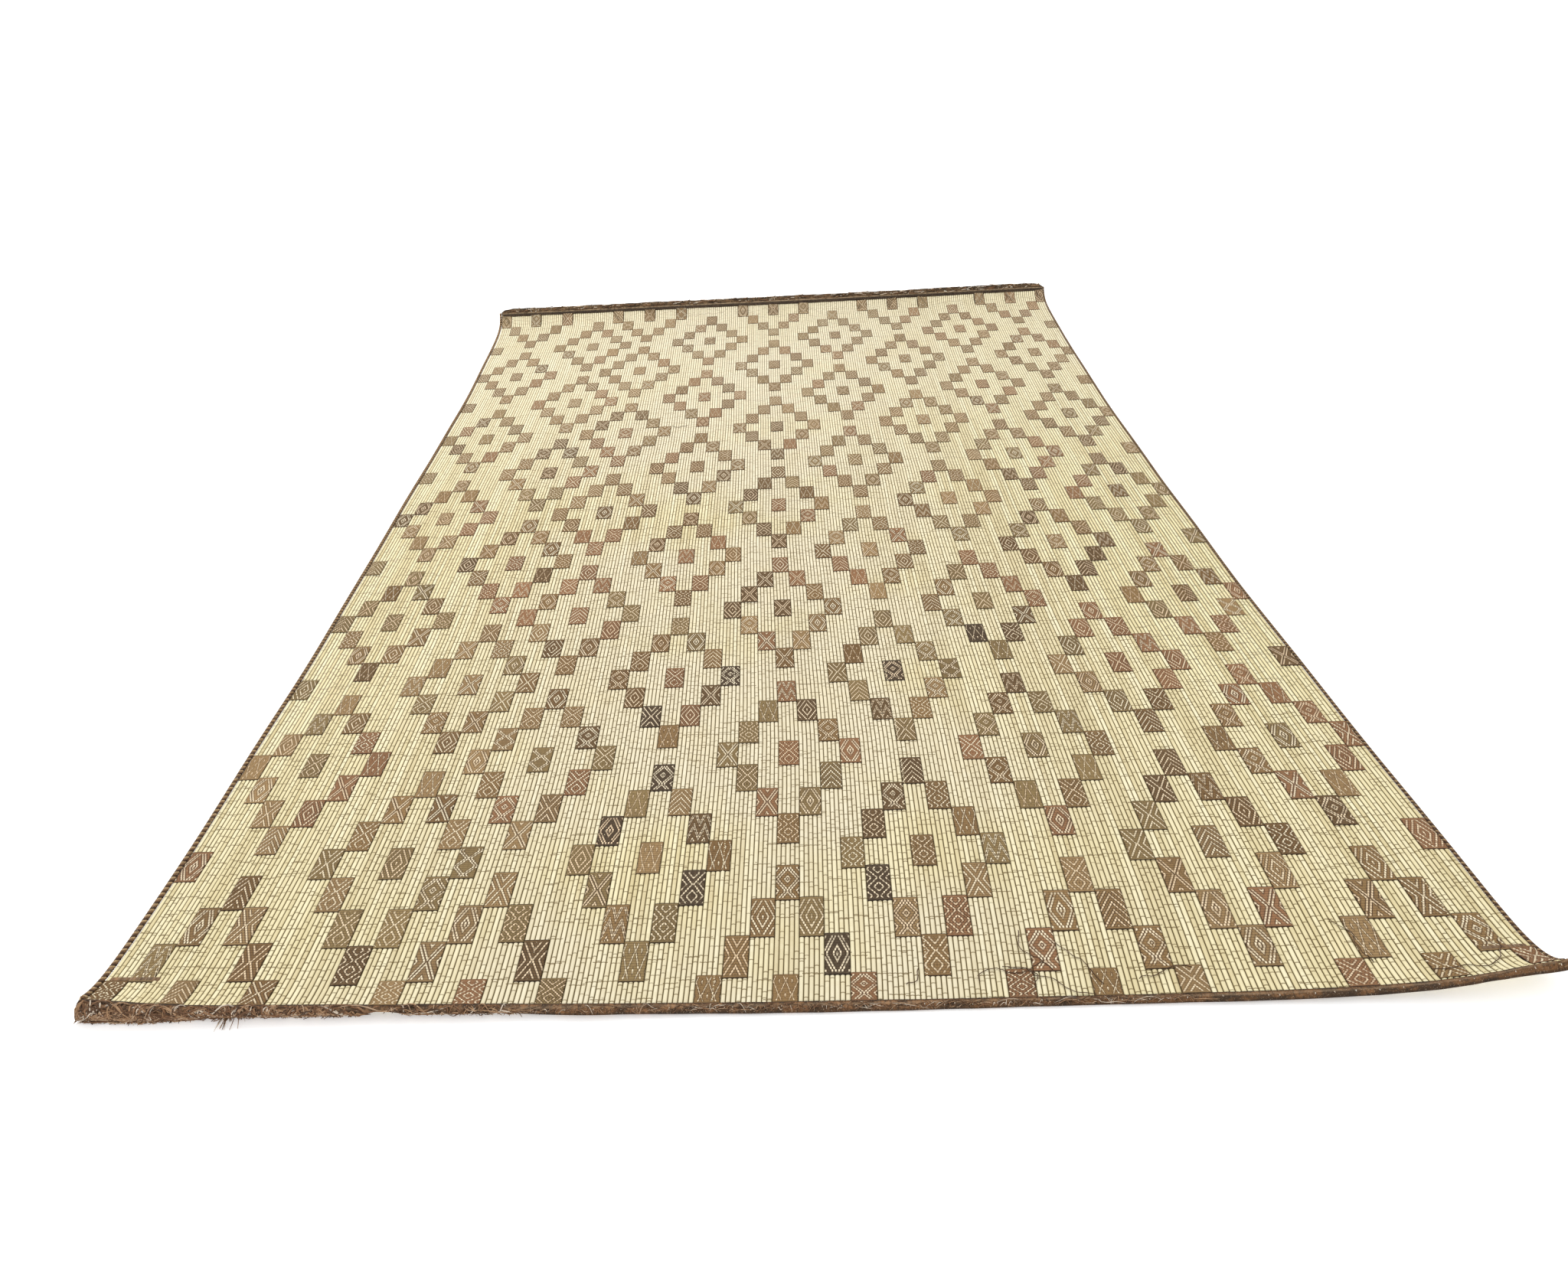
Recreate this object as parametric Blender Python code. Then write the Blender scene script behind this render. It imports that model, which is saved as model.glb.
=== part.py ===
"""A reed and leather mat that lies on a floor, its back edge and front corners curled up.

Metres, +Z up. The reeds run along Y, the back edge is at +Y, and the origin is on the floor under the
middle of the mat. The reeds are counted from the left edge, and t is the distance along a reed from its
front end, measured on the lying surface. The lift of a point is its height above the underside.
"""

import bisect
import math
import random
from collections import namedtuple

import bmesh
import bpy
import numpy as np
from mathutils import Vector

# Reeds
REEDS = 265
REED_PITCH = 0.00895
ROW_STEP = 0.632
ROW_STEPS = 6
BLOCK_LENGTH = ROW_STEP / 7.83
REED_LENGTH = ROW_STEPS * ROW_STEP + 0.96 * BLOCK_LENGTH
THICKNESS = 0.007
RIB_HEIGHT = 0.002
GAP = 0.0004

# Plan outline: the waist is the narrowest place, and the middle line leans to the left behind the front rows
WAIST_Y = 0.1
FRONT_SPREAD = 0.041
BACK_SPREAD = 0.018
LEAN = -0.015
LEAN_FROM_Y = -1.6
LEAN_TO_Y = 0.0

# How far from the middle line the reeds lie: some were packed closer than others
Place = namedtuple("Place", "reed across")
PLACES = (
    Place(0, -1.1859),
    Place(20, -1.0119),
    Place(100, -0.2679),
    Place(265, 1.1859),
)

# Curls: how steeply each end rises, from the left edge to the right one
STEEP_REACH = 0.05
TAIL_SLOPE = 0.085
TAIL_REACH = 0.42
CURL_SPAN = 1.3
PROFILE_STEPS = 800
Curl = namedtuple("Curl", "reed back_slope front_slope")
CURL = (
    Curl(0, 1.17, 0.66),
    Curl(5, 1.17, 0.55),
    Curl(10, 1.16, 0.46),
    Curl(20, 1.14, 0.36),
    Curl(30, 1.12, 0.31),
    Curl(50, 1.10, 0.25),
    Curl(85, 1.06, 0.12),
    Curl(120, 0.98, 0.02),
    Curl(155, 0.98, 0.00),
    Curl(190, 1.04, 0.02),
    Curl(220, 1.07, 0.08),
    Curl(235, 1.08, 0.17),
    Curl(245, 1.08, 0.30),
    Curl(250, 1.07, 0.42),
    Curl(255, 1.06, 0.58),
    Curl(260, 1.05, 0.80),
    Curl(265, 1.04, 0.98),
)

# Cross rows of the sheet: from the front end, through the middle, and from the back end
FRONT_ROWS = (0.0, 0.04, 0.13)
MIDDLE_ROWS = (0.9, 1.7)
BACK_ROWS = (CURL_SPAN, 0.55, 0.26, 0.12, 0.055, 0.0)

# Leather bindings
BINDING_COLUMN_STEP = 5
BACK_BINDING_WIDTH = 0.026
Width = namedtuple("Width", "reed width")
FRONT_BINDING = (
    Width(0, 0.024),
    Width(20, 0.026),
    Width(51, 0.023),
    Width(57, 0.013),
    Width(62, 0.024),
    Width(78, 0.023),
    Width(100, 0.019),
    Width(187, 0.018),
    Width(265, 0.022),
)

# Frayed thongs on the left part of the front binding
FRINGE_FROM_REED = 1
FRINGE_TO_REED = 50
FRINGE_STRIP_DEPTH = 0.004
FRINGE_THICKNESS = 0.004
THONG_SHORTEST = 0.006
THONG_LONGEST = 0.015
THONG_LEAN = 0.0012
THONG_SEED = 7
Stage = namedtuple("Stage", "along bend size")
THONG_STAGES = (Stage(0.0, 0.5, 0.9), Stage(0.5, 1.0, 0.75), Stage(1.0, 1.0, 0.45))
THONG_BEND_OUT = 0.003

# Side cords
CORD_RADIUS = 0.0055

STRAW = (0.78, 0.70, 0.46, 1.0)
LEATHER = (0.23, 0.13, 0.075, 1.0)
THONG_TAN = (0.36, 0.25, 0.17, 1.0)
CORD_BROWN = (0.17, 0.10, 0.06, 1.0)


def clear_scene():
    for obj in list(bpy.data.objects):
        bpy.data.objects.remove(obj, do_unlink=True)


def material(name, colour, roughness):
    made = bpy.data.materials.new(name)
    made.use_nodes = True
    shader = made.node_tree.nodes["Principled BSDF"]
    shader.inputs["Base Color"].default_value = colour
    shader.inputs["Roughness"].default_value = roughness
    shader.inputs["Metallic"].default_value = 0.0
    return made


def smooth_step(low, high, value):
    share = min(1.0, max(0.0, (value - low) / (high - low)))
    return share * share * (3.0 - 2.0 * share)


def plan_x(across, y):
    """Where a point that is this far from the middle line lies, on a mat that is a little waisted."""
    front = max(0.0, WAIST_Y - y) / (WAIST_Y + REED_LENGTH / 2)
    back = max(0.0, y - WAIST_Y) / (REED_LENGTH / 2 - WAIST_Y)
    spread = 1.0 + FRONT_SPREAD * front**2 + BACK_SPREAD * back**2
    return across * spread + LEAN * smooth_step(LEAN_FROM_Y, LEAN_TO_Y, y)


def fade(distance, reach):
    """Falls from 1 at an end to 0 at CURL_SPAN from it."""
    floor = math.exp(-CURL_SPAN / reach)
    return np.maximum(0.0, (np.exp(-distance / reach) - floor) / (1.0 - floor))


def lying_profile(back_slope, front_slope):
    """(t, y, z, slope) along the underside of one reed, with the middle of the reed at y = 0, z = 0."""
    t = np.linspace(0.0, REED_LENGTH, PROFILE_STEPS + 1)
    from_back = REED_LENGTH - t
    slope = back_slope * fade(from_back, STEEP_REACH) + TAIL_SLOPE * fade(from_back, TAIL_REACH)
    slope = slope - front_slope * fade(t, STEEP_REACH)
    between = (slope[1:] + slope[:-1]) / 2
    step = REED_LENGTH / PROFILE_STEPS
    y = np.concatenate(([0.0], np.cumsum(np.cos(between)) * step))
    z = np.concatenate(([0.0], np.cumsum(np.sin(between)) * step))
    middle = PROFILE_STEPS // 2
    return t, y - y[middle], z - z[middle], slope


PROFILES = {curl.reed: lying_profile(curl.back_slope, curl.front_slope) for curl in CURL}
CURL_REEDS = [curl.reed for curl in CURL]
ROWS = [*FRONT_ROWS, *MIDDLE_ROWS, *(REED_LENGTH - distance for distance in BACK_ROWS)]


def column_point(reed, t, lift, outside=0.0):
    """A point over one of the reeds in CURL. Past either end it goes straight on at the end's slope."""
    along, y_all, z_all, slope_all = PROFILES[reed]
    inside = min(max(t, 0.0), REED_LENGTH)
    slope = float(np.interp(inside, along, slope_all))
    y = float(np.interp(inside, along, y_all)) + (t - inside) * math.cos(slope)
    z = float(np.interp(inside, along, z_all)) + (t - inside) * math.sin(slope)
    across = float(np.interp(reed, [place.reed for place in PLACES], [place.across for place in PLACES]))
    x = plan_x(across, y) + outside
    return np.array((x, y - lift * math.sin(slope), z + lift * math.cos(slope)))


def sheet_point(reed, t, lift):
    """A point over any reed, on the straight line between the two columns in CURL that it lies between."""
    right = min(max(bisect.bisect_right(CURL_REEDS, reed), 1), len(CURL_REEDS) - 1)
    low, high = CURL_REEDS[right - 1], CURL_REEDS[right]
    share = (reed - low) / (high - low)
    return (1.0 - share) * column_point(low, t, lift) + share * column_point(high, t, lift)


def new_object(name, bm, look):
    bmesh.ops.recalc_face_normals(bm, faces=bm.faces)
    mesh = bpy.data.meshes.new(name)
    bm.to_mesh(mesh)
    bm.free()
    mesh.materials.append(look)
    made = bpy.data.objects.new(name, mesh)
    COLLECTION.objects.link(made)
    return made


def laid_grid(bm, reeds, lift_of):
    """A grid over the given reeds and ROWS, laid on the curled surface. Returns its vertices by row."""
    columns = len(reeds)
    made = bmesh.ops.create_grid(bm, x_segments=columns - 1, y_segments=len(ROWS) - 1, size=0.5)
    grid = [[None] * columns for _ in ROWS]
    for vertex in made["verts"]:
        column = round((vertex.co.x + 0.5) * (columns - 1))
        row = round((vertex.co.y + 0.5) * (len(ROWS) - 1))
        grid[row][column] = vertex
    for t, line in zip(ROWS, grid):
        for index, vertex in enumerate(line):
            vertex.co = sheet_point(reeds[index], t, lift_of(index))
    return grid


def close_rim(bm, fine, coarse, fine_places, coarse_places):
    """Joins two rows of vertices that run the same way, taking the nearer next place each time."""
    i = j = 0
    while i < len(fine) - 1 or j < len(coarse) - 1:
        coarse_done = j == len(coarse) - 1
        take_fine = coarse_done or (i < len(fine) - 1 and fine_places[i + 1] <= coarse_places[j + 1])
        if take_fine:
            bm.faces.new((fine[i], fine[i + 1], coarse[j]))
            i += 1
        else:
            bm.faces.new((fine[i], coarse[j + 1], coarse[j]))
            j += 1


def reed_ground(look):
    """The woven ground in one piece: a rib for each reed on top, and a plain underside."""
    bm = bmesh.new()
    ribs = [half / 2 for half in range(2 * REEDS + 1)]
    top = laid_grid(bm, ribs, lambda index: THICKNESS - RIB_HEIGHT * (1 - index % 2))
    under = laid_grid(bm, CURL_REEDS, lambda index: 0.0)
    for end in (0, -1):
        close_rim(bm, top[end], under[end], ribs, CURL_REEDS)
        top_side = [line[end] for line in top]
        under_side = [line[end] for line in under]
        close_rim(bm, top_side, under_side, ROWS, ROWS)
    return new_object("reed_ground", bm, look)


def lofted(bm, rings):
    """Skins closed rings of equal length and caps both ends. Returns the side faces, one list a ring step."""
    loops = [[bm.verts.new(point) for point in ring] for ring in rings]
    count = len(loops[0])
    steps = []
    for first, second in zip(loops, loops[1:]):
        sides = []
        for index in range(count):
            after = (index + 1) % count
            sides.append(bm.faces.new((first[index], first[after], second[after], second[index])))
        steps.append(sides)
    bm.faces.new(loops[0])
    bm.faces.new(loops[-1])
    return steps


def binding_width(reed):
    reeds = [place.reed for place in FRONT_BINDING]
    return float(np.interp(reed, reeds, [place.width for place in FRONT_BINDING]))


def binding_section(width):
    """(distance out from the reed ends, lift) round a folded leather strip of this width."""
    return (
        (GAP, 0.0),
        (GAP, THICKNESS - 0.0015),
        (0.35 * width, THICKNESS),
        (0.85 * width, 0.8 * THICKNESS),
        (width, 0.4 * THICKNESS),
        (0.95 * width, 0.0),
    )


def binding(name, end_t, outward, width_of, look):
    """A strip of leather along one end of the reeds."""
    bm = bmesh.new()
    rings = []
    for reed in range(0, REEDS + 1, BINDING_COLUMN_STEP):
        section = binding_section(width_of(reed))
        rings.append([sheet_point(reed, end_t + outward * out, lift) for out, lift in section])
    lofted(bm, rings)
    return new_object(name, bm, look)


def thong(bm, face, length, lean):
    """Draws one face of the strip out into a thong that bends down and ends on the floor."""
    root = face.calc_center_median()
    bend = Vector((0.0, -THONG_BEND_OUT, -0.0005))
    foot = Vector((lean, -length, 0.0))
    last_half = THONG_STAGES[-1].size * FRINGE_THICKNESS / 2
    foot.z = min(0.0, last_half - root.z)
    drop = (foot - bend).normalized()
    width = 1.0
    for stage in THONG_STAGES:
        centre = face.calc_center_median()
        face = bmesh.ops.extrude_discrete_faces(bm, faces=[face])["faces"][0]
        heading = Vector((0.0, -1.0, 0.0)).lerp(drop, stage.bend).normalized()
        up = Vector((0.0, heading.z, -heading.y)).normalized()
        half = stage.size * FRINGE_THICKNESS / 2
        middle = root + bend.lerp(foot, stage.along)
        middle.z = max(middle.z, half * up.z)
        narrowing = stage.size / width
        width = stage.size
        for vertex in face.verts:
            side = half if vertex.co.z > centre.z else -half
            across = (vertex.co.x - centre.x) * narrowing
            vertex.co = middle + Vector((across, 0.0, 0.0)) + side * up


def front_fringe(look):
    """Thongs that the worn leather has frayed into, fused at their roots into a narrow strip."""
    bm = bmesh.new()
    halves = range(2 * FRINGE_FROM_REED, 2 * FRINGE_TO_REED + 1)
    rings = []
    for half in halves:
        reed = half / 2
        inner = binding_width(reed) + GAP
        outer = inner + FRINGE_STRIP_DEPTH
        section = ((inner, 0.0), (inner, FRINGE_THICKNESS), (outer, FRINGE_THICKNESS), (outer, 0.0))
        rings.append([sheet_point(reed, -out, lift) for out, lift in section])
    steps = lofted(bm, rings)
    chance = random.Random(THONG_SEED)
    for sides in steps[::2]:
        length = chance.uniform(THONG_SHORTEST, THONG_LONGEST)
        thong(bm, sides[2], length, chance.uniform(-THONG_LEAN, THONG_LEAN))
    return new_object("front_fringe", bm, look)


def side_cord(name, reed, side, look):
    """A round cord sewn along one side of the reeds, following their curls."""
    curve = bpy.data.curves.new(name, "CURVE")
    curve.dimensions = "3D"
    curve.bevel_depth = CORD_RADIUS
    curve.bevel_resolution = 2
    curve.use_fill_caps = True
    places = [-binding_width(reed), *ROWS, REED_LENGTH + BACK_BINDING_WIDTH]
    spline = curve.splines.new("POLY")
    spline.points.add(len(places) - 1)
    outside = side * (CORD_RADIUS + GAP)
    for point, t in zip(spline.points, places):
        point.co = (*column_point(reed, t, CORD_RADIUS + GAP / 2, outside), 1.0)
    curve.materials.append(look)
    made = bpy.data.objects.new(name, curve)
    COLLECTION.objects.link(made)
    return made


def centre_on_origin(objects):
    """Moves the whole mat sideways so that its box is centred over the origin."""
    bpy.context.view_layer.update()
    corners = np.array([obj.matrix_world @ Vector(corner) for obj in objects for corner in obj.bound_box])
    middle = (corners.min(axis=0) + corners.max(axis=0)) / 2
    for obj in objects:
        obj.location.x -= middle[0]
        obj.location.y -= middle[1]


clear_scene()
COLLECTION = bpy.data.collections.new("reed_mat")
bpy.context.scene.collection.children.link(COLLECTION)
straw = material("straw", STRAW, 0.6)
leather = material("leather", LEATHER, 0.7)
thong_tan = material("thong_tan", THONG_TAN, 0.8)
cord_brown = material("cord_brown", CORD_BROWN, 0.75)
parts = [
    reed_ground(straw),
    binding("front_binding", 0.0, -1.0, binding_width, leather),
    binding("back_binding", REED_LENGTH, 1.0, lambda reed: BACK_BINDING_WIDTH, leather),
    front_fringe(thong_tan),
    side_cord("left_cord", 0, -1.0, cord_brown),
    side_cord("right_cord", REEDS, 1.0, cord_brown),
]
centre_on_origin(parts)
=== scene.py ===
# %% [markdown]
# # A Tuareg mat, piece by piece
# A mat of this kind is a carpet of dry reeds that lie side by side, bound together by fine leather wefts.
# Where a lozenge is wanted, the wefts close up into a small block of leather with pale stitches in it.
# The lesson lays reeds, blocks, edge strips, side cords and frayed ends on one and the same curled
# surface, because on the real mat they are woven together and bend together.

# %% Load the frame
import math
from collections import namedtuple
import bpy
import numpy as np
from mathutils import Matrix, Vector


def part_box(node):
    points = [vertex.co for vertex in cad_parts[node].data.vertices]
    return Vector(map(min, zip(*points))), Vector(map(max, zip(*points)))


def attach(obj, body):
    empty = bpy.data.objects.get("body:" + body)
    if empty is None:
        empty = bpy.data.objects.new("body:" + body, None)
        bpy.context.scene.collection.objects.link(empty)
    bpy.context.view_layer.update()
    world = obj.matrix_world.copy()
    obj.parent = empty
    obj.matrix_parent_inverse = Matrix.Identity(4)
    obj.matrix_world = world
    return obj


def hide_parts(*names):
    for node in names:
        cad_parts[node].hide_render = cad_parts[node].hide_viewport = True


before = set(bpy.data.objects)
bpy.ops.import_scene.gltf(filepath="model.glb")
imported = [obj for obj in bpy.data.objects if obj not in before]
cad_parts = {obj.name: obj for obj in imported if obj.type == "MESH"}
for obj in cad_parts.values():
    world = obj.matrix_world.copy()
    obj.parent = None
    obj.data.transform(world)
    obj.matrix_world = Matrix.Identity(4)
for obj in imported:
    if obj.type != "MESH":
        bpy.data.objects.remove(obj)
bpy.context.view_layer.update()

# %% [markdown]
# ## The measures of the weave
# Everything is counted in reeds across and metres along, as a weaver would count it. The numbers are the
# same as in the part's source, so the pieces of this scene fall exactly where its solids are.

# %% Reeds, rows and blocks
REEDS = 265
REED_PITCH = 0.00895
ROW_STEP = 0.632
ROW_STEPS = 6
BLOCK_LENGTH = ROW_STEP / 7.83
REED_LENGTH = ROW_STEPS * ROW_STEP + 0.96 * BLOCK_LENGTH
THICKNESS = 0.007

# %% How the mat spreads in plan
WAIST_Y = 0.1
FRONT_SPREAD = 0.041
BACK_SPREAD = 0.018
LEAN = -0.015
LEAN_FROM_Y = -1.6
LEAN_TO_Y = 0.0
Place = namedtuple("Place", "reed across")
PLACES = (
    Place(0, -1.1859),
    Place(20, -1.0119),
    Place(100, -0.2679),
    Place(265, 1.1859),
)


def smooth_step(low, high, value):
    share = np.clip((value - low) / (high - low), 0.0, 1.0)
    return share * share * (3.0 - 2.0 * share)


def plan_x(across, y):
    """The mat is narrowest at its waist and leans a little to the left behind it."""
    front = np.maximum(0.0, WAIST_Y - y) / (WAIST_Y + REED_LENGTH / 2)
    back = np.maximum(0.0, y - WAIST_Y) / (REED_LENGTH / 2 - WAIST_Y)
    spread = 1.0 + FRONT_SPREAD * front**2 + BACK_SPREAD * back**2
    return across * spread + LEAN * smooth_step(LEAN_FROM_Y, LEAN_TO_Y, y)


# %% [markdown]
# ## The curled surface
# The mat was stored rolled up, so its back edge still stands up and its front corners lift. Seen from the
# side, a reed is a line whose slope fades away from each end. The slope is given for a few reeds and the
# rest are blended between them.

# %% Slopes at the ends
Curl = namedtuple("Curl", "reed back_slope front_slope")
CURL = (
    Curl(0, 1.17, 0.66),
    Curl(5, 1.17, 0.55),
    Curl(10, 1.16, 0.46),
    Curl(20, 1.14, 0.36),
    Curl(30, 1.12, 0.31),
    Curl(50, 1.10, 0.25),
    Curl(85, 1.06, 0.12),
    Curl(120, 0.98, 0.02),
    Curl(155, 0.98, 0.00),
    Curl(190, 1.04, 0.02),
    Curl(220, 1.07, 0.08),
    Curl(235, 1.08, 0.17),
    Curl(245, 1.08, 0.30),
    Curl(250, 1.07, 0.42),
    Curl(255, 1.06, 0.58),
    Curl(260, 1.05, 0.80),
    Curl(265, 1.04, 0.98),
)
STEEP_REACH = 0.05
TAIL_SLOPE = 0.085
TAIL_REACH = 0.42
CURL_SPAN = 1.3
PROFILE_STEPS = 800


def fade(distance, reach):
    floor = math.exp(-CURL_SPAN / reach)
    return np.maximum(0.0, (np.exp(-distance / reach) - floor) / (1.0 - floor))


def lying_profile(back_slope, front_slope):
    """y, z and slope along one reed, with its middle at y = 0, z = 0."""
    t = np.linspace(0.0, REED_LENGTH, PROFILE_STEPS + 1)
    from_back = REED_LENGTH - t
    slope = back_slope * fade(from_back, STEEP_REACH) + TAIL_SLOPE * fade(from_back, TAIL_REACH)
    slope = slope - front_slope * fade(t, STEEP_REACH)
    between = (slope[1:] + slope[:-1]) / 2
    step = REED_LENGTH / PROFILE_STEPS
    y = np.concatenate(([0.0], np.cumsum(np.cos(between)) * step))
    z = np.concatenate(([0.0], np.cumsum(np.sin(between)) * step))
    middle = PROFILE_STEPS // 2
    return y - y[middle], z - z[middle], slope


CURL_REEDS = np.array([curl.reed for curl in CURL], float)
PROFILES = np.array([lying_profile(curl.back_slope, curl.front_slope) for curl in CURL])
print("back edge rises", round(float(PROFILES[0, 1, -1]), 3), "m at the left corner")

# %% Small swells and sways of a woven thing
SWELL = 0.0012
SWAY = 0.0016
FRONT_DRIFT = -0.020
FRONT_DRIFT_REACH = 0.55
BACK_DRIFT = 0.004
HALF_WIDTH = 1.22
MIDDLE_DRIFT = -0.019
MIDDLE_DRIFT_REACH = 1.1
MIDDLE_X = 0.2
MIDDLE_WIDTH = 0.55
FRONT_PULL = -0.008
FRONT_PULL_REACH = 0.3


def swell(x, y):
    """A few gentle waves, never below the floor."""
    waves = np.sin(2.9 * x + 1.7 * y) + np.sin(5.3 * x - 3.1 * y + 1.3) + np.sin(7.7 * y + 2.2 * x + 0.4)
    return SWELL * (waves + 3.0) / 3.0


def sway(x, y):
    """How far the reeds wander sideways. The middle of the front was pulled left of the edges."""
    waves = SWAY * (np.sin(4.1 * y + 1.9 * x) + 0.6 * np.sin(9.7 * y - 2.3 * x + 0.8))
    from_front = y + REED_LENGTH / 2
    drift = FRONT_DRIFT * np.exp(-from_front / FRONT_DRIFT_REACH) + BACK_DRIFT
    middle = MIDDLE_DRIFT * np.exp(-from_front / MIDDLE_DRIFT_REACH - ((x - MIDDLE_X) / MIDDLE_WIDTH) ** 2)
    pull = FRONT_PULL * np.exp(-from_front / FRONT_PULL_REACH) * np.sin(math.pi * (x - 0.1) / 1.3)
    return waves + (drift + middle + pull) * np.clip(1.0 - (x / HALF_WIDTH) ** 4, 0.0, 1.0)


# %% One function lays every piece on the mat
ORIGIN_SHIFT = np.zeros(3)


def over_column(column, t, lift, outside):
    """Points over the reeds in CURL. Past either end they go straight on at the end's slope."""
    inside = np.clip(t, 0.0, REED_LENGTH)
    place = inside / REED_LENGTH * PROFILE_STEPS
    index = np.minimum(place.astype(int), PROFILE_STEPS - 1)
    part = place - index
    y, z, slope = (
        PROFILES[column, which, index] * (1.0 - part) + PROFILES[column, which, index + 1] * part
        for which in range(3)
    )
    y = y + (t - inside) * np.cos(slope)
    z = z + (t - inside) * np.sin(slope)
    reeds, places_across = zip(*PLACES)
    across = np.interp(CURL_REEDS[column], reeds, places_across)
    x = plan_x(across, y) + outside
    return np.stack([x, y - lift * np.sin(slope), z + lift * np.cos(slope)], -1)


def lay(reed, t, lift=0.0, outside=0.0):
    """Points of the mat, from reeds across, metres along, height over the underside and metres outside."""
    reed, t, lift, outside = np.broadcast_arrays(*(np.asarray(v, float) for v in (reed, t, lift, outside)))
    right = np.clip(np.searchsorted(CURL_REEDS, reed, side="right"), 1, len(CURL) - 1)
    share = ((reed - CURL_REEDS[right - 1]) / (CURL_REEDS[right] - CURL_REEDS[right - 1]))[..., None]
    points = (1.0 - share) * over_column(right - 1, t, lift, outside)
    points = points + share * over_column(right, t, lift, outside)
    points[..., 2] += swell(points[..., 0], points[..., 1])
    points[..., 0] += sway(points[..., 0], points[..., 1])
    return points + ORIGIN_SHIFT


# %% [markdown]
# The source centres the whole mat over the origin. The same shift is found here by comparing the bare
# ground of these formulas with the ground's box in the frame.

# %% Find the shift to the frame
GROUND_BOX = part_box("reed_ground")
outline = lay(*np.meshgrid(np.linspace(0, REEDS, REEDS + 1), np.linspace(0, REED_LENGTH, 401)), THICKNESS / 2)
own_low = outline.reshape(-1, 3).min(0)
own_high = outline.reshape(-1, 3).max(0)
ORIGIN_SHIFT = (np.array(GROUND_BOX[0]) + np.array(GROUND_BOX[1]) - own_low - own_high) / 2
ORIGIN_SHIFT[2] = 0.0
print("shift to the frame:", ORIGIN_SHIFT.round(4))

# %% [markdown]
# ## Mesh helpers
# All pieces are grids or tubes. A grid is quickest when its corner numbers are worked out as arrays and
# handed to Blender at once. Each piece also carries numbers for its finish: where on the weave a corner
# is, and which tone of leather it has.

# %% Make an object from arrays
ROOT = "root"


def make_piece(name, points, faces, numbers):
    """faces is a list of (count, size) arrays of corner numbers, or of plain tuples."""
    mesh = bpy.data.meshes.new(name)
    rows = []
    for group in faces:
        rows += group.tolist() if hasattr(group, "tolist") else [group]
    mesh.from_pydata(points.reshape(-1, 3).tolist(), [], rows)
    for key, values in numbers.items():
        values = np.asarray(values, np.float32).reshape(-1, 3)
        made = mesh.attributes.new(key, "FLOAT_VECTOR", "POINT")
        made.data.foreach_set("vector", values.ravel())
    mesh.polygons.foreach_set("use_smooth", [True] * len(mesh.polygons))
    mesh.update()
    mesh.validate()
    piece = bpy.data.objects.new(name, mesh)
    bpy.context.scene.collection.objects.link(piece)
    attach(piece, ROOT)
    mesh.calc_loop_triangles()
    print(name, len(mesh.loop_triangles), "triangles")
    return piece


def grid_faces(rows, columns, start=0, flip=False):
    """Quads over a grid whose corners are numbered row by row."""
    numbers = start + np.arange(rows * columns).reshape(rows, columns)
    quads = [numbers[:-1, :-1], numbers[:-1, 1:], numbers[1:, 1:], numbers[1:, :-1]]
    if flip:
        quads.reverse()
    return np.stack(quads, -1).reshape(-1, 4)


# %% Make many tubes in one piece
def tube_frames(path):
    """Two directions across a path at each of its points."""
    along = np.gradient(path, axis=0)
    along /= np.linalg.norm(along, axis=1, keepdims=True) + 1e-12
    guide = np.array([0.0, 0.0, 1.0])
    if abs(along[:, 2]).mean() > 0.8:
        guide = np.array([1.0, 0.0, 0.0])
    side = np.cross(along, guide)
    side /= np.linalg.norm(side, axis=1, keepdims=True) + 1e-12
    return side, np.cross(side, along)


def tube_piece(name, tubes, sides=6):
    """tubes is a list of (path, radius at each point, flatness, tone). Each is closed at both ends."""
    points = []
    faces = []
    numbers = []
    start = 0
    turn = np.linspace(0, 2 * math.pi, sides, endpoint=False)
    for path, radius, flatness, tone in tubes:
        side, up = tube_frames(path)
        radius = np.broadcast_to(radius, len(path))[:, None, None]
        ring = side[:, None] * np.cos(turn)[:, None] + up[:, None] * np.sin(turn)[:, None] * flatness
        points.append((path[:, None] + ring * radius).reshape(-1, 3))
        index = start + np.arange(len(path) * sides).reshape(len(path), sides)
        after = np.roll(index, -1, axis=1)
        faces.append(np.stack([index[:-1], index[1:], after[1:], after[:-1]], -1).reshape(-1, 4))
        faces.append(tuple(int(i) for i in index[0]))
        faces.append(tuple(int(i) for i in index[-1][::-1]))
        length = np.linspace(0, 1, len(path))
        numbers.append(np.stack(np.broadcast_arrays(tone, length[:, None], turn[None, :]), -1).reshape(-1, 3))
        start += len(path) * sides
    return make_piece(name, np.concatenate(points), faces, {"strand": np.concatenate(numbers)})


# %% [markdown]
# ## The reed ground
# Some 265 reeds lie side by side. Each is a round stem, so each gets a ridge of four strips on top and
# two underneath, a height of its own, and an end that is cut a few millimetres longer or shorter. The
# ground is one closed sheet, as the woven mat is.

# %% Ridges across and rows along
chance = np.random.default_rng(11)
RIDGE = ((0.0, 0.0047), (0.16, 0.0063), (0.5, 0.0071), (0.84, 0.0063))
UNDER = ((0.0, 0.0009), (0.5, 0.0))
END_UNEVEN = 0.003
END_UNEVEN_REACH = 0.02
END_ROUNDED = 0.0014
END_ROUNDED_REACH = 0.002
TOP_FROM_LIFT = 0.005
REED_ROUGHNESS = 0.00025

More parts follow.
